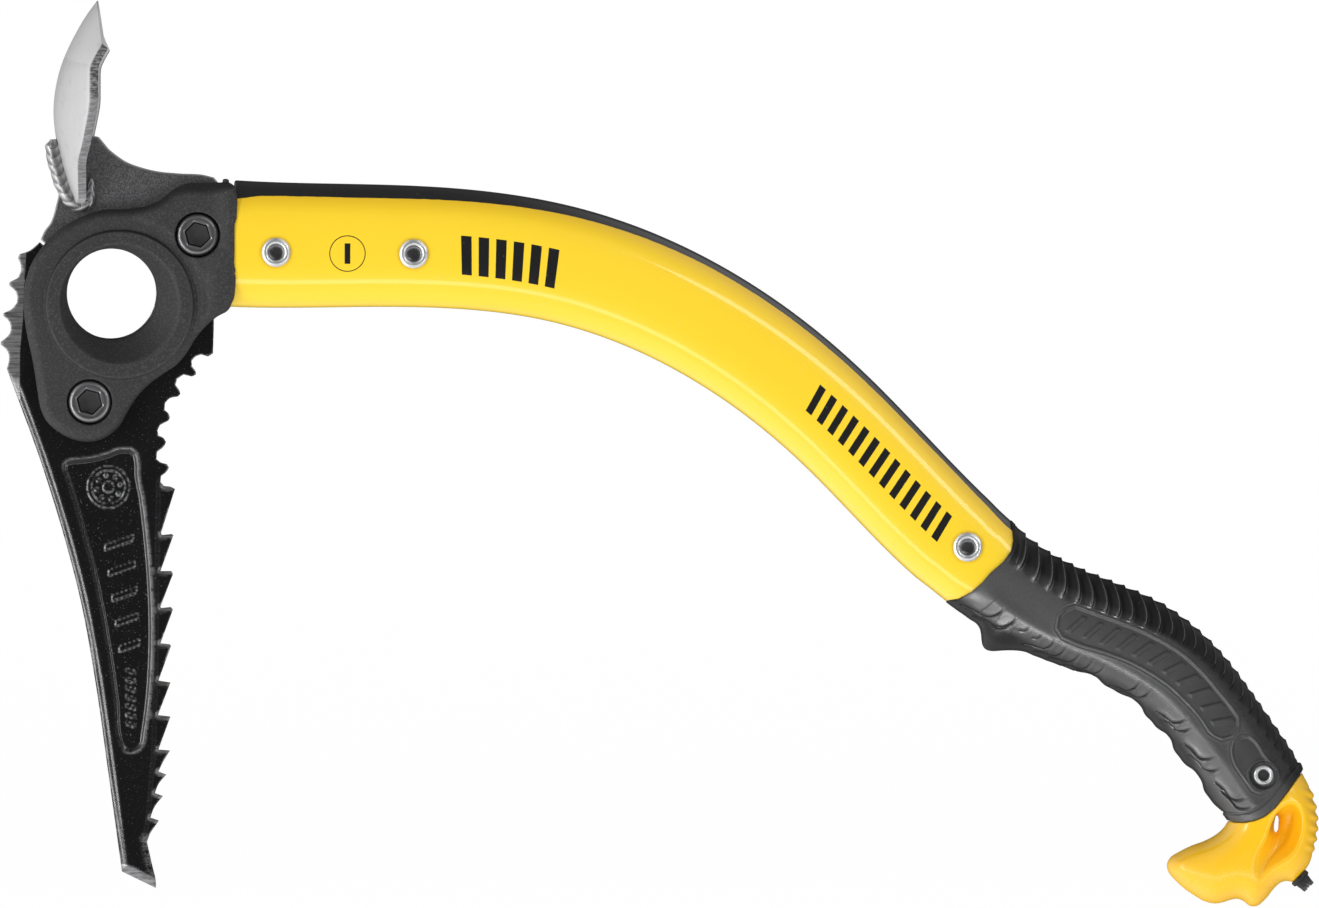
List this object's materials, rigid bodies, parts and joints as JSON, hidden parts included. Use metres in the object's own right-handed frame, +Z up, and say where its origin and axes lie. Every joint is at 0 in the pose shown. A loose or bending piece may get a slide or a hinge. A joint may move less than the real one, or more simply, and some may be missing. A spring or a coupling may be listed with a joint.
{
  "type": "ice axe",
  "caption": "Technical ice axe with a curved tube shaft, toothed pick, curved adze, ringed head, ribbed rubber grip and a pommel with a finger horn and spike.",
  "frame": {"origin": "middle of the lowest plane: centre of the bounding box in X and Y, lowest point of the pommel in Z", "axes": "+X from the head towards the grip, +Y through the thickness towards the nut side of the head, +Z up towards the adze; the bolt heads face -Y"},
  "size_m": [0.4612, 0.0512, 0.3171],
  "materials": {
    "forged_head": "matt black, fine cast grain",
    "black_steel": "glossy black, bright worn edges",
    "grey_steel": "bead-blasted grey",
    "bright_steel": "satin light grey",
    "weld": "rippled weld bead",
    "fastener_steel": "dark grey, oiled",
    "rivet_steel": "bright polished",
    "yellow_lacquer": "glossy yellow lacquer, black painted back",
    "plug_plastic": "plain black",
    "grip_rubber": "satin black moulded rubber",
    "pommel_plastic": "glossy warm yellow",
    "spike_steel": "black"
  },
  "bodies": {
    "root": {"shaft_tube": "yellow_lacquer", "head_body": "forged_head", "pick": "black_steel", "adze_plate": "grey_steel", "adze_blade": "bright_steel", "adze_weld_near": "weld", "adze_weld_far": "weld", "head_bolt_upper": "fastener_steel", "head_bolt_lower": "fastener_steel", "head_nut_upper": "fastener_steel", "head_nut_lower": "fastener_steel", "shaft_plug": "plug_plastic", "grip": "grip_rubber", "pommel": "pommel_plastic", "spike": "spike_steel", "head_rivet_upper_near": "rivet_steel", "head_rivet_upper_far": "rivet_steel", "head_rivet_lower_near": "rivet_steel", "head_rivet_lower_far": "rivet_steel", "plug_rivet_near": "rivet_steel", "plug_rivet_far": "rivet_steel", "pommel_rivet_near": "rivet_steel", "pommel_rivet_far": "rivet_steel"}
  },
  "joints": []
}
